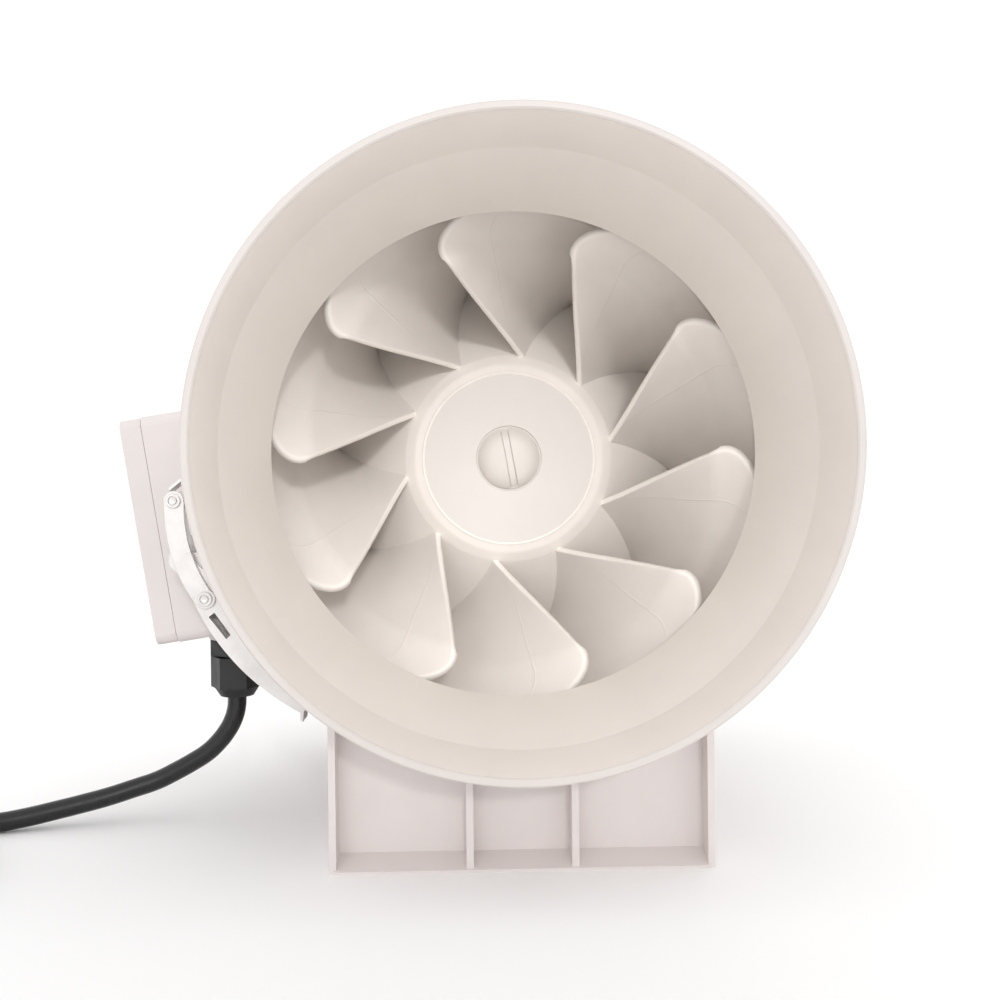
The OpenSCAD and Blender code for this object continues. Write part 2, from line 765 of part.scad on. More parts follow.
module terminal_box() {
    color(ivory) difference() {
        union() {
            box_frame() difference() {
                union() {
                    difference() {
                        box_slab(118, box_top_x);
                        box_slab(box_floor_x, box_top_x + 1, box_wall);
                    }
                    for (p = lid_screw_spots) translate([box_floor_x - 1, p[0], p[1]])
                        rotate([0, 90, 0])
                            cylinder(r = 4.2, h = box_top_x - box_floor_x + 1, $fn = 48);
                }
                translate([0, 0, -1]) cylinder(r = body_r + 0.1, h = box_len + 2, $fn = 180);
                for (p = lid_screw_spots) translate([box_top_x - 14, p[0], p[1]])
                    rotate([0, 90, 0]) cylinder(r = 1.5, h = 20, $fn = 32);
                translate([110, 0, lead_s - box_s0]) rotate([0, 90, 0])
                    cylinder(r = 6, h = 40, $fn = 48);
                for (y = [-34, 34], z = [14, box_len - 14]) translate([110, y, z])
                    rotate([0, 90, 0]) cylinder(r = 2.1, h = 40, $fn = 32);
            }
            // Boss with a level face for the cable gland
            translate([gland_x, gland_y, gland_seat_z]) cylinder(r = 13, h = boss_h, $fn = 64);
        }
        translate([gland_x, gland_y, gland_seat_z - 2])
            cylinder(r = thread_r, h = boss_h + 12, $fn = 64);
        // Room for the gland's locknut in the box floor
        translate([gland_x, gland_y, gland_seat_z + boss_h]) cylinder(r = 14.5, h = 10, $fn = 64);
    }
}

module lid_gasket() {
    color(gasket_white) box_frame() difference() {
        box_slab(box_top_x, box_top_x + gasket_t, 1.2);
        box_slab(box_top_x - 1, box_top_x + 2, box_wall);
    }
}

module box_lid() {
    color(ivory) box_frame() difference() {
        box_slab(box_top_x + gasket_t, lid_top_x, 0.4);
        box_slab(box_top_x, lid_top_x - box_wall, box_wall);
        for (p = lid_screw_spots) translate([box_top_x, p[0], p[1]]) rotate([0, 90, 0]) {
            cylinder(r = 1.8, h = 20, $fn = 32);
            translate([0, 0, lid_seat_x - box_top_x]) cylinder(r = 3.6, h = 10, $fn = 48);
        }
    }
}

// Pan-head lid screws
module lid_screws() {
    shank_l = lid_seat_x - box_top_x + 12;
    color(zinc) box_frame() for (p = lid_screw_spots) translate([box_top_x - 12, p[0], p[1]])
        rotate([0, 90, 0]) difference() {
            union() {
                cylinder(r = 1.45, h = shank_l + 1, $fn = 32);
                translate([0, 0, shank_l]) cylinder(r = 3.3, h = 1.5, $fn = 48);
            }
            translate([0, 0, shank_l + 1.5]) for (t = [0, 90]) rotate([0, 0, t])
                cube([4, 0.9, 1.6], center = true);
        }
}

// Screws that hold the box to the casing
module box_screws() {
    color(zinc) box_frame() for (y = [-34, 34], z = [14, box_len - 14])
        translate([130.5, y, z]) rotate([0, 90, 0]) {
            cylinder(r = 1.65, h = box_floor_x - 130.5, $fn = 32);
            translate([0, 0, box_floor_x - 130.5]) cylinder(r = 3.6, h = 2, $fn = 48);
        }
}

module terminal_block() {
    color([0.93, 0.93, 0.9]) box_frame() translate([box_floor_x, 2, 30]) difference() {
        cube([13, 34, 20]);
        for (i = [0:2]) translate([6, 6 + 11 * i, 10]) {
            rotate([0, 90, 0]) cylinder(r = 3, h = 10, $fn = 32);
            rotate([90, 0, 90]) translate([0, 0, -1]) cylinder(r = 1.2, h = 4, $fn = 32);
        }
    }
}

module run_capacitor() {
    color([0.16, 0.16, 0.18]) box_frame() translate([box_floor_x + 10.1, 40, 98])
        rotate([90, 0, 0]) cylinder(r = 10, h = 52, $fn = 64);
}

// Lead from the motor through the pod and casing into the box
module motor_lead() {
    lead_x0 = 51;
    color(nylon_black) fan() lead_hole(lead_r, lead_x0, box_floor_x + 6);
}

// Rubber grommet where the lead passes the casing
module lead_grommet() {
    color(rubber_grey) fan() difference() {
        lead_hole(5.9, body_bore_r + 0.2, box_floor_x + 1);
        lead_hole(lead_r + 0.05, body_bore_r - 2, box_floor_x + 2);
    }
}

// ---------------------------------------------------------------- cable gland

module gland_at(z) {
    translate([gland_x, gland_y, z]) children();
}

module gland_locknut() {
    color(nylon_black) gland_at(gland_seat_z + boss_h) difference() {
        cylinder(r = 13, h = 4, $fn = 6);
        translate([0, 0, -1]) cylinder(r = thread_r, h = 6, $fn = 64);
    }
}

module gland_body() {
    color(nylon_black) gland_at(0) difference() {
        union() {
            translate([0, 0, gland_floor_z + 0.5]) rotate([0, 0, 20])
                cylinder(d = gland_af / cos(30), h = gland_seat_z - gland_floor_z - 0.5, $fn = 6);
            translate([0, 0, gland_seat_z - 1]) cylinder(r = thread_r, h = boss_h + 7, $fn = 64);
            translate([0, 0, gland_floor_z - 8]) cylinder(r = 8.6, h = 9, $fn = 64);
        }
        translate([0, 0, gland_floor_z - 9]) cylinder(r = 6.6, h = 40, $fn = 64);
    }
}

module gland_bush() {
    color(rubber_grey) gland_at(gland_floor_z - 11) difference() {
        cylinder(r = 6.55, h = 12, $fn = 64);
        translate([0, 0, -1]) cylinder(r = cord_d / 2 + 0.1, h = 14, $fn = 64);
    }
}

module gland_nut() {
    nut_h = 15;
    color(nylon_black) gland_at(0) difference() {
        union() {
            translate([0, 0, gland_floor_z - nut_h]) rotate([0, 0, 2])
                cylinder(d = gland_af / cos(30), h = nut_h, $fn = 6);
            translate([0, 0, cord_exit_z])
                cylinder(r1 = 8, r2 = 10.8, h = gland_floor_z - nut_h - cord_exit_z, $fn = 64);
        }
        translate([0, 0, gland_floor_z - 11]) cylinder(r = 8.7, h = 12, $fn = 64);
        translate([0, 0, cord_exit_z - 1]) cylinder(r = cord_d / 2 + 0.2, h = 10, $fn = 64);
    }
}

// ---------------------------------------------------------------- mains lead

module mains_cord() {
    inside = [gland_x, gland_y, cord_exit_z + 24];
    color(nylon_black) swept_tube(concat([inside], cord_route), cord_d / 2);
}

module cord_coil() {
    r0 = coil_mid_r - 1.5 * cord_d;
    r1 = coil_mid_r + 1.5 * cord_d;
    color(nylon_black) translate([coil_x, coil_y, coil_lift]) rotate_extrude() polygon([
        [r0, 2], [r0 + 2, 0], [r1 - 2, 0], [r1, 2], [r1, cord_d], [r1 - cord_d, 2 * cord_d - 1],
        [r1 - cord_d - 1, 2 * cord_d], [r0 + 2, 2 * cord_d], [r0, 2 * cord_d - 2]
    ]);
}

module cord_tail() {
    color(nylon_black) swept_tube(tail_route, cord_d / 2);
}

module coil_tie() {
    tie_w = 12;
    tie_t = 1.2;
    w = 3 * cord_d;
    color(nylon_black) translate([coil_x, coil_y, coil_lift]) rotate([0, 0, 215])
        translate([coil_mid_r, tie_w / 2, cord_d]) rotate([90, 0, 0]) linear_extrude(tie_w)
            difference() {
                square([w + 2 * tie_t + 0.4, 2 * cord_d + 2 * tie_t], center = true);
                square([w + 0.4, 2 * cord_d], center = true);
            }
}

// The plug's own frame: x along the prongs from the cord's end
module plug_frame() {
    p = tail_route[len(tail_route) - 1];
    translate([p[0], p[1], plug_axis_z]) rotate([0, 0, plug_heading]) children();
}

module plug_body() {
    color(nylon_black) plug_frame() {
        rotate([0, 90, 0]) cylinder(r1 = 5.4, r2 = 7.5, h = relief_len, $fn = 48);
        translate([relief_len - 0.01, 0, 0]) rotate([90, 0, 90]) linear_extrude(plug_len)
            round_rect(27, 2 * plug_axis_z - 0.2, 7);
    }
}

module plug_prongs() {
    x0 = relief_len + plug_len - 0.01;
    color(brass) plug_frame() {
        for (y = [-6.35, 6.35]) translate([x0, y - 0.75, 0.5]) cube([prong_len, 1.5, 6.35]);
        translate([x0, 0, -7.5]) rotate([0, 90, 0]) cylinder(r = 2.4, h = prong_len + 3, $fn = 32);
    }
}

inlet_section();
outlet_section();
motor_casing();
impeller_shroud();
vane_ring();
motor_plate();
tail_cone();
tail_screws();
motor_can();
motor_end_cap();
stator_core();
stator_windings();
motor_bearings();
motor_screws();
flange_seals();
impeller_hub();
impeller_blades();
impeller_cap();
motor_shaft();
motor_rotor();
base();
front_clamp_ring();
front_clamp_catch();
front_clamp_bracket();
front_pivot_pin();
front_link_plates();
front_link_rivets();
front_lever();
rear_clamp_ring();
rear_clamp_catch();
rear_clamp_bracket();
rear_pivot_pin();
rear_link_plates();
rear_link_rivets();
rear_lever();
terminal_box();
box_lid();
lid_gasket();
lid_screws();
box_screws();
terminal_block();
run_capacitor();
motor_lead();
lead_grommet();
gland_locknut();
gland_body();
gland_nut();
gland_bush();
mains_cord();
cord_coil();
cord_tail();
coil_tie();
plug_body();
plug_prongs();
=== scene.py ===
"""Inline duct fan: looks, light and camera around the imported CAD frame. Metres throughout."""
import json
import math

import bmesh
import bpy
from mathutils import Matrix, Vector


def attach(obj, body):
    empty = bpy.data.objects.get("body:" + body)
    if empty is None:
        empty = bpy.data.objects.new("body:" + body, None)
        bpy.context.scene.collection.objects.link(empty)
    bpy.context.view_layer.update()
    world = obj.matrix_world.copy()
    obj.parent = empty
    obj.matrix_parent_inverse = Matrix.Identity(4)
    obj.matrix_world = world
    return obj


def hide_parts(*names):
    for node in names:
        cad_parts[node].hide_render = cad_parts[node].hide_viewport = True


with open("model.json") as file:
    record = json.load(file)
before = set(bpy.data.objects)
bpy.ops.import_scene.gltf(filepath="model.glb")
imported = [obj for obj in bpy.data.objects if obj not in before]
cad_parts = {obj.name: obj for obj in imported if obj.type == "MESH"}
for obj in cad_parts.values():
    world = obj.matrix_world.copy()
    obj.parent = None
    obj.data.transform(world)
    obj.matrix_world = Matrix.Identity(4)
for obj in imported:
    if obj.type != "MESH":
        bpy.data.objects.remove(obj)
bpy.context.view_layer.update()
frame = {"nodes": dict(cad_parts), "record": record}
scene = bpy.context.scene
NODES = frame["nodes"]
AXIS_Z = 0.175
FAN_MID = 0.1925
MM = 0.001
FAN_LENGTH_MM = 385.0
# Each clamp's middle, measured from its end of the fan
JOINT_MM = 83.0


# ---------------------------------------------------------------- camera

SENSOR_MM = 36.0
# Focal length, in widths of the frame
FOCAL_RATIO = 1.1408
CAMERA_AT = (-0.0214, -FAN_MID - 0.414, 0.1579)
# Degrees
CAMERA_PAN, CAMERA_TILT, CAMERA_ROLL = 1.62, -0.415, 0.618


def make_camera():
    """The viewing angle: nearly square on to the inlet, a little low and left."""
    data = bpy.data.cameras.new("camera")
    cam = bpy.data.objects.new("camera", data)
    scene.collection.objects.link(cam)
    data.sensor_width = SENSOR_MM
    data.lens = SENSOR_MM * FOCAL_RATIO
    data.clip_start = 0.01
    pan, tilt, roll = (math.radians(a) for a in (CAMERA_PAN, CAMERA_TILT, CAMERA_ROLL))
    turn = (Matrix.Rotation(-pan, 4, "Z") @ Matrix.Rotation(math.pi / 2 + tilt, 4, "X")
            @ Matrix.Rotation(-roll, 4, "Z"))
    cam.matrix_world = Matrix.Translation(CAMERA_AT) @ turn
    scene.camera = cam


make_camera()


# ---------------------------------------------------------------- material helpers

def new_material(name):
    m = bpy.data.materials.new(name)
    m.use_nodes = True
    tree = m.node_tree
    return m, tree, tree.nodes["Principled BSDF"]


def put(tree, kind, inputs=(), **settings):
    """Adds a node, sets its properties, and sets or links its inputs."""
    node = tree.nodes.new(kind)
    for key, value in settings.items():
        setattr(node, key, value)
    for key, value in dict(inputs).items():
        if isinstance(value, bpy.types.NodeSocket):
            tree.links.new(value, node.inputs[key])
        else:
            node.inputs[key].default_value = value
    return node


def place(tree, scale=(1, 1, 1)):
    """Object coordinates in metres, stretched by scale."""
    where = put(tree, "ShaderNodeTexCoord").outputs["Object"]
    return put(tree, "ShaderNodeMapping", {"Vector": where, "Scale": scale}).outputs["Vector"]


def noise(tree, vector, scale, detail):
    return put(tree, "ShaderNodeTexNoise", {
        "Vector": vector, "Scale": scale, "Detail": detail, "Roughness": 0.55,
    }).outputs["Fac"]


def between(tree, fac, low, high, at=(0.35, 0.65)):
    """Remaps a 0-1 value so that it runs from low to high between two of its levels."""
    return put(tree, "ShaderNodeMapRange", {
        "Value": fac, "From Min": at[0], "From Max": at[1], "To Min": low, "To Max": high,
    }).outputs["Result"]


def tint(tree, fac, dark, light):
    """A colour ramp from dark to light."""
    ramp = put(tree, "ShaderNodeValToRGB", {"Fac": fac})
    for stop, colour in zip(ramp.color_ramp.elements, (dark, light)):
        stop.color = (*colour, 1)
    ramp.color_ramp.elements[0].position = 0.3
    ramp.color_ramp.elements[1].position = 0.7
    return ramp.outputs["Color"]


def bump(tree, height, distance, strength=1.0, normal=None):
    links = {"Height": height, "Distance": distance, "Strength": strength}
    if normal is not None:
        links["Normal"] = normal
    return put(tree, "ShaderNodeBump", links).outputs["Normal"]


def scaled(colour, k):
    return tuple(c * k for c in colour)


def vary(tree, out, fac, colour, spread):
    """Varies the base colour by a fraction, spread, to each side of its middle."""
    tree.links.new(tint(tree, fac, scaled(colour, 1 - spread), scaled(colour, 1 + spread)),
                   out.inputs["Base Color"])


def moulded(name, colour, rough):
    """Injection-moulded plastic: fine spark-eroded grain, faint flow clouds and a soft sheen."""
    m, tree, out = new_material(name)
    where = place(tree)
    clouds = noise(tree, where, 9, 4)
    grain = noise(tree, where, 1400, 2)
    flow = noise(tree, place(tree, (1, 0.25, 1)), 60, 5)
    patches = put(tree, "ShaderNodeMath", {0: clouds, 1: between(tree, flow, -0.08, 0.08)},
                  operation="ADD").outputs["Value"]
    vary(tree, out, patches, colour, 0.03)
    tree.links.new(between(tree, flow, rough - 0.05, rough + 0.06), out.inputs["Roughness"])
    wave = bump(tree, clouds, 0.0006, 0.25)
    tree.links.new(bump(tree, grain, 0.000035, 0.8, wave), out.inputs["Normal"])
    out.inputs["IOR"].default_value = 1.5
    out.inputs["Specular IOR Level"].default_value = 0.45
    return m


def blade_plastic(name, colour, rough):
    """The moulded plastic with the blade's fine witness line, from its root to its tip."""
    m = moulded(name, colour, rough)
    tree = m.node_tree
    out = tree.nodes["Principled BSDF"]
    grain = out.inputs["Normal"].links[0].from_socket
    on_blade = put(tree, "ShaderNodeUVMap", uv_map="blade").outputs["UV"]
    uv = put(tree, "ShaderNodeSeparateXYZ", {0: on_blade})
    # The line's chord position is a quadratic in its height up the blade
    start, slope, bend = (-0.066, 0.888, -0.70)
    rise = put(tree, "ShaderNodeMath", {0: uv.outputs["Y"], 1: bend, 2: slope},
               operation="MULTIPLY_ADD").outputs["Value"]
    at = put(tree, "ShaderNodeMath", {0: uv.outputs["Y"], 1: rise, 2: start},
             operation="MULTIPLY_ADD").outputs["Value"]
    gap = put(tree, "ShaderNodeMath", {0: uv.outputs["X"], 1: at}, operation="SUBTRACT")
    away = put(tree, "ShaderNodeMath", {0: gap.outputs["Value"]}, operation="ABSOLUTE")
    line = put(tree, "ShaderNodeMapRange", {
        "Value": away.outputs["Value"], "From Min": 0.0, "From Max": 0.005,
        "To Min": 1.0, "To Max": 0.0}).outputs["Result"]
    tree.links.new(bump(tree, line, 0.00012, 1.0, grain), out.inputs["Normal"])
    return m


def sheet_steel(name, colour, rough, spangle):
    """Zinc-plated strip: lines rolled around the fan axis, soft mottling and small scratches."""
    m, tree, out = new_material(name)
    where = put(tree, "ShaderNodeTexCoord").outputs["Object"]
    from_axis = put(tree, "ShaderNodeVectorMath", {0: where, 1: (0, 0, AXIS_Z)},
                    operation="SUBTRACT").outputs["Vector"]
    flat = put(tree, "ShaderNodeVectorMath", {0: from_axis, 1: (1, 0, 1)},
               operation="MULTIPLY").outputs["Vector"]
    radius = put(tree, "ShaderNodeVectorMath", {0: flat}, operation="LENGTH").outputs["Value"]
    along = put(tree, "ShaderNodeSeparateXYZ", {0: where})
    rolled_at = put(tree, "ShaderNodeCombineXYZ", {
        "X": radius, "Y": along.outputs["Y"],
        "Z": put(tree, "ShaderNodeMath", {0: along.outputs["X"], 1: 0.02},
                 operation="MULTIPLY").outputs["Value"],
    }).outputs["Vector"]
    rolled = noise(tree, rolled_at, 2600, 3)
    mottle = noise(tree, where, 160, 4)
    scratch = noise(tree, place(tree, (1, 0.06, 0.35)), 900, 2)
    vary(tree, out, mottle, colour, spangle)
    worn = put(tree, "ShaderNodeMath", {0: rolled, 1: mottle},
               operation="MULTIPLY").outputs["Value"]
    tree.links.new(between(tree, worn, rough - 0.09, rough + 0.12, (0.1, 0.45)),
                   out.inputs["Roughness"])
    first = bump(tree, rolled, 0.00002, 0.5)
    tree.links.new(bump(tree, scratch, 0.00002, 0.35, first), out.inputs["Normal"])
    out.inputs["Metallic"].default_value = 0.55
    return m


def turned_metal(name, colour, rough):
    """Bare metal with fine lines across its length."""
    m, tree, out = new_material(name)
    lines = noise(tree, place(tree, (1, 40, 1)), 120, 3)
    tree.links.new(tint(tree, lines, scaled(colour, 0.92), scaled(colour, 1.05)),
                   out.inputs["Base Color"])
    tree.links.new(between(tree, lines, rough - 0.06, rough + 0.08), out.inputs["Roughness"])
    tree.links.new(bump(tree, lines, 0.00002, 0.5), out.inputs["Normal"])
    out.inputs["Metallic"].default_value = 1.0
    return m


def soft_plain(name, colour, rough, grain_scale, depth, spread=0.25):
    """PVC, nylon or rubber: fine surface grain with a dusty, uneven sheen."""
    m, tree, out = new_material(name)
    where = place(tree)
    dust = noise(tree, where, 70, 5)
    fine = noise(tree, where, grain_scale, 3)
    vary(tree, out, dust, colour, spread)
    tree.links.new(between(tree, dust, rough - 0.06, rough + 0.1), out.inputs["Roughness"])
    tree.links.new(bump(tree, fine, depth, 0.7), out.inputs["Normal"])
    return m


def woven(name, colour):
    """Hook-and-loop strap: a coarse over-and-under weave."""
    m, tree, out = new_material(name)
    where = place(tree)
    warp = put(tree, "ShaderNodeTexWave", {"Vector": where, "Scale": 700.0, "Distortion": 0.6},
               bands_direction="X").outputs["Fac"]
    weft = put(tree, "ShaderNodeTexWave", {"Vector": where, "Scale": 700.0, "Distortion": 0.6},
               bands_direction="Y").outputs["Fac"]
    cloth = put(tree, "ShaderNodeMath", {0: warp, 1: weft}, operation="MAXIMUM").outputs["Value"]
    tree.links.new(tint(tree, cloth, scaled(colour, 0.6), scaled(colour, 1.5)),
                   out.inputs["Base Color"])
    tree.links.new(bump(tree, cloth, 0.0002, 0.8), out.inputs["Normal"])
    out.inputs["Roughness"].default_value = 0.9
    return m


# One plastic in lit and shaded copies, toned for how much light each group of pieces gets: painted
# light in the lighter copies for the inside of the ducts and the blades, painted shade in the
# darker copies for the hub disc, the outsides, the rim lip and the liner
IVORY = (0.855, 0.80, 0.75)
IVORY_BLADE_PAINTED_LIGHT = (0.91, 0.855, 0.805)
IVORY_HUB_PAINTED_SHADE = (0.70, 0.66, 0.625)
IVORY_CASE_PAINTED_SHADE = (0.72, 0.665, 0.648)
IVORY_RIM_PAINTED_SHADE = (0.62, 0.57, 0.545)
IVORY_LINER_PAINTED_SHADE = (0.50, 0.455, 0.42)
MATERIALS = {
    "ivory": moulded("ivory_abs", IVORY, 0.44),
    "blade": blade_plastic("ivory_abs_blade_painted_light", IVORY_BLADE_PAINTED_LIGHT, 0.44),
    "hub": moulded("ivory_abs_hub_painted_shade", IVORY_HUB_PAINTED_SHADE, 0.44),
    "case": moulded("ivory_abs_case_painted_shade", IVORY_CASE_PAINTED_SHADE, 0.5),
    "rim": moulded("ivory_abs_rim_painted_shade", IVORY_RIM_PAINTED_SHADE, 0.5),
    "liner": moulded("ivory_abs_liner_painted_shade", IVORY_LINER_PAINTED_SHADE, 0.5),
    "cap": moulded("cap_abs", (0.72, 0.68, 0.64), 0.5),
    "zinc": sheet_steel("zinc_steel", (0.70, 0.675, 0.66), 0.36, 0.06),
    "ground": turned_metal("ground_steel", (0.60, 0.61, 0.62), 0.25),
    "core": turned_metal("core_steel", (0.28, 0.28, 0.29), 0.5),
    "copper": turned_metal("copper_wire", (0.70, 0.33, 0.16), 0.35),
    "grey_rubber": soft_plain("grey_rubber", (0.05, 0.05, 0.052), 0.75, 900, 0.00006),
    "pale_rubber": soft_plain("pale_rubber", (0.62, 0.59, 0.57), 0.7, 900, 0.00004, 0.04),
    "nylon": soft_plain("black_nylon", (0.008, 0.008, 0.0092), 0.40, 1500, 0.00003),
    "pvc": soft_plain("black_pvc", (0.007, 0.007, 0.0085), 0.27, 1100, 0.000012),
    "terminal": moulded("terminal_nylon", (0.82, 0.82, 0.78), 0.5),
    "capacitor": soft_plain("capacitor_case", (0.02, 0.02, 0.022), 0.25, 500, 0.00001),
    "strap": woven("tie_fabric", (0.018, 0.018, 0.02)),
    "brass": turned_metal("plated_brass", (0.78, 0.63, 0.36), 0.24),
}
SLOT_LOOK = {
    "ivory_abs": "ivory", "cap_abs": "cap", "zinc_steel": "zinc", "ground_steel": "ground",
    "core_steel": "core", "copper_wire": "copper", "grey_rubber": "grey_rubber",
    "pale_rubber": "pale_rubber",
    "terminal_nylon": "terminal", "capacitor_case": "capacitor", "black_nylon": "nylon",
    "black_pvc": "pvc", "tie_fabric": "strap", "plated_brass": "brass",
}
SLOT_OF = {part["node"]: part["material_slot"] for part in frame["record"]["subparts"]}


# ---------------------------------------------------------------- piece helpers

def finish_piece(obj, body, look, replaced=()):
    """Gives a piece its material and body, and hides the CAD nodes that it replaces."""
    obj.data.materials.clear()
    obj.data.materials.append(MATERIALS[look])
    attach(obj, body)
    if replaced:
        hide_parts(*replaced)
    return obj


def mesh_object(name, verts, faces):
    """A smooth-shaded mesh with doubled points merged and its faces turned outwards."""
    mesh = bpy.data.meshes.new(name)
    mesh.from_pydata([tuple(v) for v in verts], [], faces)
    mesh.validate()
    bm = bmesh.new()
    bm.from_mesh(mesh)
    bmesh.ops.remove_doubles(bm, verts=bm.verts, dist=1e-6)
    bmesh.ops.recalc_face_normals(bm, faces=bm.faces)
    bm.to_mesh(mesh)
    bm.free()
    obj = bpy.data.objects.new(name, mesh)
    scene.collection.objects.link(obj)
    for p in mesh.polygons:
        p.use_smooth = True
    return obj


def sharp_by_angle(obj, degrees=32):
    """Marks creases sharp so that smooth shading stops at them."""
    bm = bmesh.new()
    bm.from_mesh(obj.data)
    limit = math.radians(degrees)
    for e in bm.edges:
        if len(e.link_faces) == 2:
            e.smooth = e.calc_face_angle(0) < limit
    bm.to_mesh(obj.data)
    bm.free()


def soften(obj, width, angle):
    """Rounds the edges that turn by more than angle, in degrees."""
    mod = obj.modifiers.new("soft_edges", "BEVEL")
    mod.width = width
    mod.segments = 2
    mod.limit_method = "ANGLE"
    mod.angle_limit = math.radians(angle)
    mod.use_clamp_overlap = True
    mod.harden_normals = True


def fan_point(x, y, s):
    """Fan coordinates, in millimetres, to the shared frame: s runs back from the inlet rim."""
    return Vector((x * MM, s * MM - FAN_MID, AXIS_Z - y * MM))


def rounded(profile, radii, steps=5):
    """Rounds the corners of a closed (r, s) profile; radii gives one radius per corner."""
    out = []
    n = len(profile)
    for i in range(n):
        here = Vector(profile[i])
        before = Vector(profile[i - 1]) - here
        after = Vector(profile[(i + 1) % n]) - here
        radius = radii[i]
        if radius <= 0:
            out.append(here)
            continue
        angle = before.angle(after)
        reach = min(radius / math.tan(angle / 2), before.length * 0.49, after.length * 0.49)
        a = here + before.normalized() * reach
        b = here + after.normalized() * reach
        for k in range(steps + 1):
            t = k / steps
            out.append(a * (1 - t) ** 2 + here * 2 * t * (1 - t) + b * t ** 2)
    return out


def lathe(name, profile, steps):
    """Turns a closed (r, s) profile, in millimetres, all the way about the fan axis."""
    verts, faces = [], []
    n = len(profile)
    for i in range(steps):
        a = math.tau * i / steps
        verts += [fan_point(p[0] * math.cos(a), p[0] * math.sin(a), p[1]) for p in profile]
    for i in range(steps):
        j = (i + 1) % steps
        for k in range(n):
            m = (k + 1) % n
            faces.append((i * n + k, j * n + k, j * n + m, i * n + m))
    obj = mesh_object(name, verts, faces)
    sharp_by_angle(obj)
    return obj


# ---------------------------------------------------------------- mains lead

CORD_D = 0.009
COIL_AT = (-0.294, -0.142)
# From the gland to the coil, and from the coil to the plug, in millimetres
CORD_ROUTE = [
    (-135, -46, 60), (-135.6, -46, 53), (-137.6, -46, 47), (-140.5, -46, 42),
    (-145, -46, 36.5), (-150, -46, 32), (-157, -46, 27.6), (-165, -46, 23.3),
    (-174, -46.3, 19), (-185, -48, 15.7), (-197, -51, 12.5), (-209, -54, 10),
    (-221, -57.2, 7.8), (-232, -60.5, 6), (-243.5, -64, 4.8), (-257, -68.2, 4.6),
    (-271, -72.3, 4.6), (-286, -75.8, 4.8), (-301, -78.8, 5.2),
]
TAIL_ROUTE = [
    (-326, -97, 14.7), (-340, -103.5, 14.6), (-352.5, -112.5, 14.4),
    (-363, -123.5, 14), (-371, -136, 13.4), (-376.5, -149.5, 12.8),
]
# Turn angle, radius and height along the coil, in degrees and millimetres
COIL_KEYS = [
    (0, 63, 5.7), (300, 63, 5.7), (360, 54, 5.7), (660, 54, 5.7), (720, 45, 5.7), (960, 45, 5.7),
    (1020, 45, 14.7), (1260, 45, 14.7), (1320, 54, 14.7), (1440, 54, 14.7),
]
COIL_STEP = 22.5
COIL_START = 110
PLUG_HEADING = 250
PLUG_RING_POINTS = 40
RELIEF_LENGTH = 0.026
RELIEF_RINGS = 52
TIE_HEADING = 215
TIE_HALF_WIDTH = 0.006
TIE_THICKNESS = 0.001


def coil_points():
    """The coil's turns, which ease from one key to the next."""
    points = []
    for k in range(int(COIL_KEYS[-1][0] / COIL_STEP) + 1):
        turn = k * COIL_STEP
        for a, b in zip(COIL_KEYS, COIL_KEYS[1:]):
            if a[0] <= turn <= b[0]:
                t = (turn - a[0]) / (b[0] - a[0])
                t = t * t * (3 - 2 * t)
                r = (a[1] + (b[1] - a[1]) * t) * MM
                z = (a[2] + (b[2] - a[2]) * t) * MM
                break
        a = math.radians(COIL_START + turn)
        points.append((COIL_AT[0] + r * math.cos(a), COIL_AT[1] + r * math.sin(a), z))
    return points


def make_cord():
    route = ([tuple(c * MM for c in p) for p in CORD_ROUTE] + coil_points()
             + [tuple(c * MM for c in p) for p in TAIL_ROUTE])
    curve = bpy.data.curves.new("mains_lead", "CURVE")
    curve.dimensions = "3D"
    curve.resolution_u = 6
    curve.bevel_depth = CORD_D / 2
    curve.bevel_resolution = 5
    curve.use_fill_caps = True
    spline = curve.splines.new("BEZIER")
    spline.bezier_points.add(len(route) - 1)
    for point, at in zip(spline.bezier_points, route):
        point.co = at
        point.handle_left_type = point.handle_right_type = "AUTO"
    cord = bpy.data.objects.new("mains_lead", curve)
    scene.collection.objects.link(cord)
    return cord


def plug_matrix():
    at = Vector(TAIL_ROUTE[-1]) * MM
    return Matrix.Translation(at) @ Matrix.Rotation(math.radians(PLUG_HEADING), 4, "Z")


def loft(name, sections, matrix):
    """Skins a list of point rings, each with the same count, and closes both ends."""
    n = len(sections[0])
    verts = [matrix @ Vector(p) for ring in sections for p in ring]
    faces = []
    for i in range(len(sections) - 1):
        for k in range(n):
            m = (k + 1) % n
            faces.append((i * n + k, (i + 1) * n + k, (i + 1) * n + m, i * n + m))
    faces.append(tuple(range(n)))
    faces.append(tuple(range((len(sections) - 1) * n, len(sections) * n)))
    obj = mesh_object(name, verts, faces)
    sharp_by_angle(obj)
    return obj


def superellipse(x, half_w, half_h, power):
    """A ring across the plug: 2 gives an ellipse, and a higher power a squarer shape."""
    ring = []
    for k in range(PLUG_RING_POINTS):
        a = math.tau * k / PLUG_RING_POINTS
        c, s = math.cos(a), math.sin(a)
        ring.append((x, math.copysign(abs(c) ** (2 / power), c) * half_w,
                     math.copysign(abs(s) ** (2 / power), s) * half_h))
    return ring


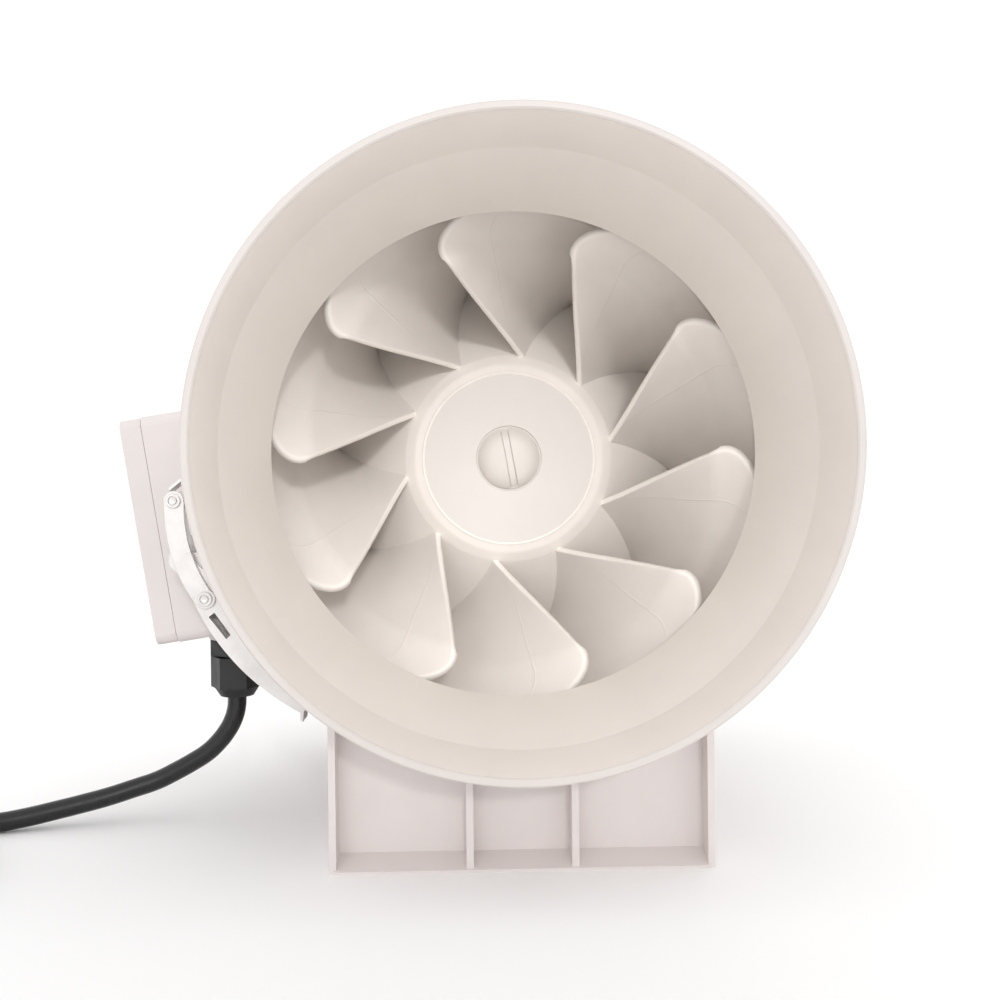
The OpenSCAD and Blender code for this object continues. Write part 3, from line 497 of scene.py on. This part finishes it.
def make_plug():
    """Moulded three-pin plug with a ribbed, tapering strain relief."""
    rings = []
    # Strain relief: rings swell and shrink along the taper
    for k in range(RELIEF_RINGS + 1):
        x = RELIEF_LENGTH * k / RELIEF_RINGS
        taper = 0.0053 + 0.0021 * (x / RELIEF_LENGTH)
        groove = -0.0009 if 4 < k < 48 and (k // 4) % 2 else 0.0
        rings.append(superellipse(x, taper + groove, taper + groove, 2))
    # Body: shoulders, waisted grip, square-ended face
    for x, w, h, p in (
        (0.0262, 0.0084, 0.0080, 2.1), (0.0275, 0.0100, 0.0092, 2.3), (0.030, 0.0118, 0.0106, 2.6),
        (0.033, 0.0127, 0.0117, 2.9), (0.038, 0.0124, 0.0121, 3.2), (0.044, 0.0121, 0.0122, 3.4),
        (0.050, 0.0125, 0.0123, 3.6), (0.055, 0.0131, 0.0124, 3.8), (0.0585, 0.0134, 0.0125, 4.0),
        (0.0594, 0.0131, 0.0122, 4.0), (0.0599, 0.0124, 0.0115, 4.0),
    ):
        rings.append(superellipse(x, w, h, p))
    plug = loft("plug_moulding", rings, plug_matrix())
    finish_piece(plug, "housing", "pvc", ("plug_body",))
    soften(plug, 0.0004, 40)
    return plug


def make_tie():
    """Hook-and-loop strap around the coil, with an overlapping tongue."""
    turn = Matrix.Rotation(math.radians(TIE_HEADING), 4, "Z")
    at = Matrix.Translation((*COIL_AT, 0)) @ turn
    corners = [(0.0404, 0.0011), (0.0676, 0.0011), (0.0676, 0.0116), (0.0590, 0.0194),
               (0.0404, 0.0194)]
    centre = Vector((0.0535, 0.0098))
    outline = [(p, p - (p - centre).normalized() * TIE_THICKNESS)
               for p in rounded(corners, [0.0022] * 5, 6)]
    verts, faces = [], []
    n = len(outline)
    for outer, inner in outline:
        for y in (-TIE_HALF_WIDTH, TIE_HALF_WIDTH):
            verts.append(at @ Vector((outer.x, y, outer.y)))
            verts.append(at @ Vector((inner.x, y, inner.y)))
    for i in range(n):
        j = (i + 1) % n
        a0, b0 = i * 4, j * 4
        faces += [(a0, b0, b0 + 2, a0 + 2), (a0 + 1, a0 + 3, b0 + 3, b0 + 1),
                  (a0, a0 + 1, b0 + 1, b0), (a0 + 2, b0 + 2, b0 + 3, a0 + 3)]
    tie = mesh_object("cord_strap", verts, faces)
    sharp_by_angle(tie)
    return finish_piece(tie, "housing", "strap", ("coil_tie",))


cord = make_cord()
finish_piece(cord, "housing", "pvc", ("mains_cord", "cord_coil", "cord_tail"))
plug = make_plug()
tie = make_tie()


# ---------------------------------------------------------------- impeller

# A blade's four corners as (radius, station) in millimetres, and the bend in its leading edge
ROOT_IN, ROOT_OUT = (53.4, 176.5), (98.0, 222.0)
TIP_IN, TIP_OUT = (115.0, 108.0), (128.5, 205.0)
BEND_R, BEND_S = 94, 112
IMPELLER_TURN = 82.5
BLADE_T = 2.7
BLADES = 10
# The flat front disc ends here, in metres from the axis
HUB_DISC_EDGE = 0.0432


def mix(a, b, t):
    return a + (b - a) * t


def lead_angle(r):
    """The leading edge's angle about the axis, in degrees: it sweeps out, then curls back."""
    return 34 * (1 - math.exp((ROOT_IN[0] - r) / 28)) - 7.8 * max(0, (r - BEND_R) / 16) ** 2


def lead_station(r):
    if r < BEND_R:
        return mix(ROOT_IN[1], BEND_S, (r - ROOT_IN[0]) / (BEND_R - ROOT_IN[0]))
    return mix(BEND_S, TIP_IN[1], (r - BEND_R) / (TIP_IN[0] - BEND_R))


def blade_mid(u, v):
    """Middle surface of a blade: u from leading to trailing edge, v from root to tip."""
    r_lead = mix(ROOT_IN[0], TIP_IN[0], v)
    r = mix(r_lead, mix(ROOT_OUT[0], TIP_OUT[0], v), u)
    a = mix(lead_angle(r_lead), -16.2 - 27 * v, u)
    ease = u + 0.45 * v * (u * u - u)
    s = mix(lead_station(r_lead), mix(ROOT_OUT[1], TIP_OUT[1], v), ease)
    a = math.radians(a)
    return Vector((r * math.cos(a), -r * math.sin(a), s))


def blade_side(u, v, side):
    """One side of a blade. Both sides share each point's station, so the edge faces forward."""
    e = 0.01
    along = blade_mid(min(u + e, 1), v) - blade_mid(max(u - e, 0), v)
    across = blade_mid(u, v + e) - blade_mid(u, v - e)
    normal = along.cross(across).normalized()
    flat = Vector((normal.x, normal.y, 0))
    reach = BLADE_T / 2 / max(flat.length, 0.8)
    return blade_mid(u, v) + flat.normalized() * reach * side


def blade_mesh():
    """A closed blade, with its edges rounded by rings that step in from the surface."""
    nu, nv = 30, 30
    lead = [0.0, 0.004, 0.012]
    us = lead + [mix(lead[-1], 1, i / nu) for i in range(1, nu + 1)]
    pull = {0: 0.8, 1: 0.95}
    vs = [mix(-0.035, 1, j / nv) for j in range(nv + 1)]
    loop = []
    for j, v in enumerate(vs):
        tip = 0.7 if j == nv else 1.0
        ring = [blade_side(u, v, -pull.get(i, 1.0) * tip) for i, u in enumerate(us)]
        ring += [blade_side(u, v, pull.get(i, 1.0) * tip)
                 for i, u in reversed(list(enumerate(us)))]
        loop.append(ring)
    n = len(loop[0])
    verts = [p for ring in loop for p in ring]
    faces = []
    uv = {}
    for j in range(nv):
        for k in range(n):
            m = (k + 1) % n
            faces.append((j * n + k, j * n + m, (j + 1) * n + m, (j + 1) * n + k))
    half = n // 2
    for end in (0, nv):
        for k in range(half - 1):
            faces.append((end * n + k, end * n + k + 1, end * n + n - 2 - k, end * n + n - 1 - k))
    chord = us + us[::-1]
    for j, v in enumerate(vs):
        for k in range(n):
            uv[j * n + k] = (chord[k], v)
    return verts, faces, uv


def make_impeller():
    verts, faces, uv = blade_mesh()
    for b in range(BLADES):
        turn = Matrix.Rotation(-math.radians(IMPELLER_TURN + b * 360 / BLADES), 3, "Z")
        placed = [fan_point(*(turn @ v)) for v in verts]
        mesh = bpy.data.meshes.new(f"impeller_blade_{b}")
        mesh.from_pydata(placed, [], faces)
        layer = mesh.uv_layers.new(name="blade")
        for loop in mesh.loops:
            layer.data[loop.index].uv = uv[loop.vertex_index]
        bm = bmesh.new()
        bm.from_mesh(mesh)
        bmesh.ops.recalc_face_normals(bm, faces=bm.faces)
        bm.to_mesh(mesh)
        bm.free()
        for p in mesh.polygons:
            p.use_smooth = True
        blade = bpy.data.objects.new(f"impeller_blade_{b}", mesh)
        scene.collection.objects.link(blade)
        finish_piece(blade, "rotor", "blade", ("impeller_blades",) if b == 0 else ())

    def cone(r):
        return mix(ROOT_IN[1], ROOT_OUT[1], (r - ROOT_IN[0]) / (ROOT_OUT[0] - ROOT_IN[0]))

    profile = rounded(
        [(5.2, 172), (15.7, 172), (15.7, 173), (16.7, 173), (16.7, 172), (43.4, 172),
         (43.7, 171.6), (44.3, 171.6), (44.6, 172.1), (48.5, 173.4), (53.4, 176.9), (64, cone(64)),
         (98, cone(98)),
         (98, 226), (95, 226), (94, cone(98) + 2), (51.4, cone(53.4) + 4), (42, 177), (11, 177),
         (11, 206), (5.2, 206)],
        [0, 0.2, 0.2, 0.2, 0.3, 0.3, 0.2, 0.2, 0.3, 8, 8, 12, 1.2, 0.6, 0.4, 1, 3, 1, 1, 0.5, 0.2])
    hub = lathe("impeller_hub_shell", profile, 192)
    finish_piece(hub, "rotor", "hub", ("impeller_hub",))
    # Painted shade and light: the flat disc keeps the hub's darker copy, toned down under the duct
    # spot, and the cone beyond takes the blades' lighter copy
    hub.data.materials.append(MATERIALS["blade"])
    for face in hub.data.polygons:
        if math.hypot(face.center.x, face.center.z - AXIS_Z) > HUB_DISC_EDGE:
            face.material_index = 1


make_impeller()

CAP_R = 15.5
CAP_RISE = 4.4
CAP_FRONT_S, CAP_BACK_S = 171.6, 172.8
SLOT_LEAN = 10.0
# The coin slot's cross-section: distance from its middle and depth, with a groove at each side
SLOT_SHAPE = ((2.1, 0), (2.05, 1.3), (1.5, 1.3), (1.45, 0.35))


def make_cap():
    """The screw cap on the shaft: flat in the middle, round at the edge, with a coin slot."""
    def rise(x, y):
        return CAP_RISE * (1 - (math.hypot(x, y) / CAP_R) ** 4.5)

    edge_x = SLOT_SHAPE[0][0]
    side = [(edge_x + (CAP_R * 0.999 - edge_x) * math.sin(math.pi / 2 * k / 16), 0)
            for k in range(1, 17)]
    half_rows = list(reversed(SLOT_SHAPE)) + side
    rows = [(-x, depth) for x, depth in reversed(half_rows)] + half_rows
    count = 33
    lean = math.radians(SLOT_LEAN)
    verts, faces = [], []
    for x, depth in rows:
        reach = math.sqrt(CAP_R ** 2 - x ** 2)
        for k in range(count):
            y = reach * math.sin(math.pi * (k / (count - 1) - 0.5))
            height = max(rise(x, y) - depth, 0)
            verts.append(fan_point(x * math.cos(lean) + y * math.sin(lean),
                                   y * math.cos(lean) - x * math.sin(lean),
                                   CAP_FRONT_S - height))
    for i in range(len(rows) - 1):
        for k in range(count - 1):
            a = i * count + k
            faces.append((a, a + 1, a + count + 1, a + count))
    edge = ([i * count for i in range(len(rows))]
            + [(len(rows) - 1) * count + k for k in range(1, count)]
            + [i * count + count - 1 for i in range(len(rows) - 2, -1, -1)]
            + list(range(count - 2, 0, -1)))
    first = len(verts)
    verts += [Vector((verts[i].x, CAP_BACK_S * MM - FAN_MID, verts[i].z)) for i in edge]
    for k in range(len(edge)):
        m = (k + 1) % len(edge)
        faces.append((edge[k], edge[m], first + m, first + k))
    faces.append(tuple(range(first, first + len(edge))))
    cap = mesh_object("shaft_cap", verts, faces)
    sharp_by_angle(cap, 30)
    finish_piece(cap, "rotor", "cap", ("impeller_cap",))


make_cap()


# ---------------------------------------------------------------- duct sections

# In metres: faces further out are the duct's outside, and the bead and the lip end this far in
OUTSIDE_R = 0.1225
BEAD_END = 0.0045
LIP_END = 0.0012


def make_ducts():
    """Both end sections, turned as shells with a beaded rim; only the inlet has a nozzle."""
    outside = [(121.8, 0.8), (122.6, 0), (124.6, 0), (125.2, 0.6), (125.2, 3), (124, 4.2),
               (124, 44), (136, 68), (136, 76), (139.5, 77.6), (139.5, 83), (133.5, 83),
               (133.5, 69.5)]
    out_r = [0.5, 0.4, 0.5, 0.5, 0.8, 1, 14, 6, 1.2, 0.8, 0.4, 0.4, 3]
    cone = [(122.2, 47.4), (112, 102), (110.3, 102.8), (109.5, 102), (120.6, 42)]
    cone_r = [2, 0.4, 0.4, 0.4, 3.0]
    flare = [(121.8, 45)]
    for name, shape, radii, flip in (
        ("inlet_section", outside + cone, out_r + cone_r, False),
        ("outlet_section", outside + flare, out_r + [12], True),
    ):
        profile = rounded(shape, radii, 6)
        if flip:
            profile = [Vector((p[0], FAN_LENGTH_MM - p[1])) for p in profile]
        duct = lathe(name + "_shell", profile, 320)
        finish_piece(duct, "housing", "ivory", (name,))
        duct.data.materials.append(MATERIALS["case"])
        duct.data.materials.append(MATERIALS["rim"])
        # Painted light and shade: the inside faces keep the lighter copy, the outside faces take
        # the darker case copy, and the lip and the bead take the darkest rim copy
        for face in duct.data.polygons:
            out_from_axis = math.hypot(face.center.x, face.center.z - AXIS_Z)
            from_rim = FAN_MID - abs(face.center.y)
            if from_rim < LIP_END or (from_rim < BEAD_END and out_from_axis > OUTSIDE_R):
                face.material_index = 2
            elif out_from_axis > OUTSIDE_R:
                face.material_index = 1


make_ducts()


# ---------------------------------------------------------------- latch rivets

# Each rivet's radius, in millimetres, and its angle below the axis, in degrees before the turn
LATCH_TURN = 0.7
RIVETS = ((147.7, 8.3), (147.0, 25.4))
RIVET_HALF = 8.8
RIVET_STEPS = 40


def make_rivets():
    """The link's rivets, each head with a raised collar, a groove and a dimpled middle."""
    head = [(r, RIVET_HALF + s) for r, s in (
        (2.0, 0), (2.0, 0.4), (3.1, 0.45), (3.1, 0.85), (2.8, 1.05), (2.15, 1.05), (2.05, 0.1),
        (1.5, 0.1), (1.4, 1.15), (1.0, 1.15), (0.0, 0.8))]
    profile = [(r, -s) for r, s in reversed(head)] + head
    for end in ("front", "rear"):
        verts, faces = [], []
        for r, a in RIVETS:
            a = math.radians(a - LATCH_TURN)
            first = len(verts)
            for i in range(RIVET_STEPS):
                t = math.tau * i / RIVET_STEPS
                for reach, s in profile:
                    at = JOINT_MM + s if end == "front" else FAN_LENGTH_MM - JOINT_MM - s
                    verts.append(fan_point(-r * math.cos(a) + reach * math.cos(t),
                                           r * math.sin(a) + reach * math.sin(t), at))
            n = len(profile)
            for i in range(RIVET_STEPS):
                j = (i + 1) % RIVET_STEPS
                for k in range(n - 1):
                    faces.append((first + i * n + k, first + j * n + k,
                                  first + j * n + k + 1, first + i * n + k + 1))
        rivets = mesh_object(f"{end}_rivets", verts, faces)
        sharp_by_angle(rivets)
        finish_piece(rivets, f"{end}_latch_link", "zinc", (f"{end}_link_rivets",))


make_rivets()


# ---------------------------------------------------------------- CAD nodes, edges softened

# Edge widths in metres
PLAIN_WIDTH = 0.00025
SOFT_WIDTH = {
    "base": 0.0009, "terminal_box": 0.0009, "box_lid": 0.0011, "motor_casing": 0.0005,
    "gland_nut": 0.0009, "gland_body": 0.0004, "vane_ring": 0.0004, "tail_cone": 0.0004,
    "plug_prongs": 0.0004,
}
# Nodes given a shaded copy of their slot's plastic: painted shade on the base, the box and the
# casing, and darker painted shade on the liner parts deep in the duct
LOOK_OF = {"base": "case", "terminal_box": "case", "box_lid": "case", "motor_casing": "case",
           "impeller_shroud": "liner", "vane_ring": "liner"}


def dress_cad():
    for name, obj in NODES.items():
        look = LOOK_OF.get(name, SLOT_LOOK[SLOT_OF[name]])
        if len(obj.material_slots) == 0:
            obj.data.materials.append(MATERIALS[look])
        for s in obj.material_slots:
            s.material = MATERIALS[look]
        weld = obj.modifiers.new("weld", "WELD")
        weld.merge_threshold = 1e-6
        soften(obj, SOFT_WIDTH.get(name, PLAIN_WIDTH), 30)


dress_cad()


# ---------------------------------------------------------------- stage and light

FLOOR_HALF = 9


def make_stage():
    m, tree, out = new_material("studio_floor")
    cloud = noise(tree, place(tree), 3, 3)
    tree.links.new(tint(tree, cloud, (0.96, 0.96, 0.96), (0.97, 0.97, 0.97)),
                   out.inputs["Base Color"])
    out.inputs["Roughness"].default_value = 0.9
    out.inputs["Specular IOR Level"].default_value = 0.1
    corners = [(-FLOOR_HALF, -FLOOR_HALF, 0), (FLOOR_HALF, -FLOOR_HALF, 0),
               (FLOOR_HALF, FLOOR_HALF, 0), (-FLOOR_HALF, FLOOR_HALF, 0)]
    floor = mesh_object("studio_floor", corners, [(0, 1, 2, 3)])
    floor.data.materials.append(m)


def light(name, kind, at, to, power):
    """Adds a lamp at one point, aimed at another, and returns its settings."""
    data = bpy.data.lights.new(name, kind)
    data.energy = power
    lamp = bpy.data.objects.new(name, data)
    scene.collection.objects.link(lamp)
    lamp.location = at
    lamp.rotation_euler = (Vector(to) - Vector(at)).to_track_quat("-Z", "Y").to_euler()
    return data


def area_light(name, at, to, size, power):
    data = light(name, "AREA", at, to, power)
    data.shape = "RECTANGLE"
    data.size, data.size_y = size


def make_light():
    world = bpy.data.worlds.new("studio")
    scene.world = world
    world.use_nodes = True
    back = world.node_tree.nodes["Background"]
    back.inputs["Color"].default_value = (1, 1, 1, 1)
    back.inputs["Strength"].default_value = 1.06
    area_light("front", (-0.5, -2.4, 0.9), (0, 0, 0.17), (1.6, 1.6), 9)
    area_light("rear", (0.6, 2.4, 1.8), (0, 0.1, 0.15), (1.6, 1.2), 10)
    # A narrow beam into the inlet, from above and to its right
    beam = light("duct_spot", "SPOT", (0.2, -1.7, 0.62), (0, -0.15, AXIS_Z), 58)
    beam.spot_size = math.radians(8.8)
    beam.spot_blend = 0.35
    beam.shadow_soft_size = 0.12


make_stage()
make_light()
scene.view_settings.view_transform = "Standard"
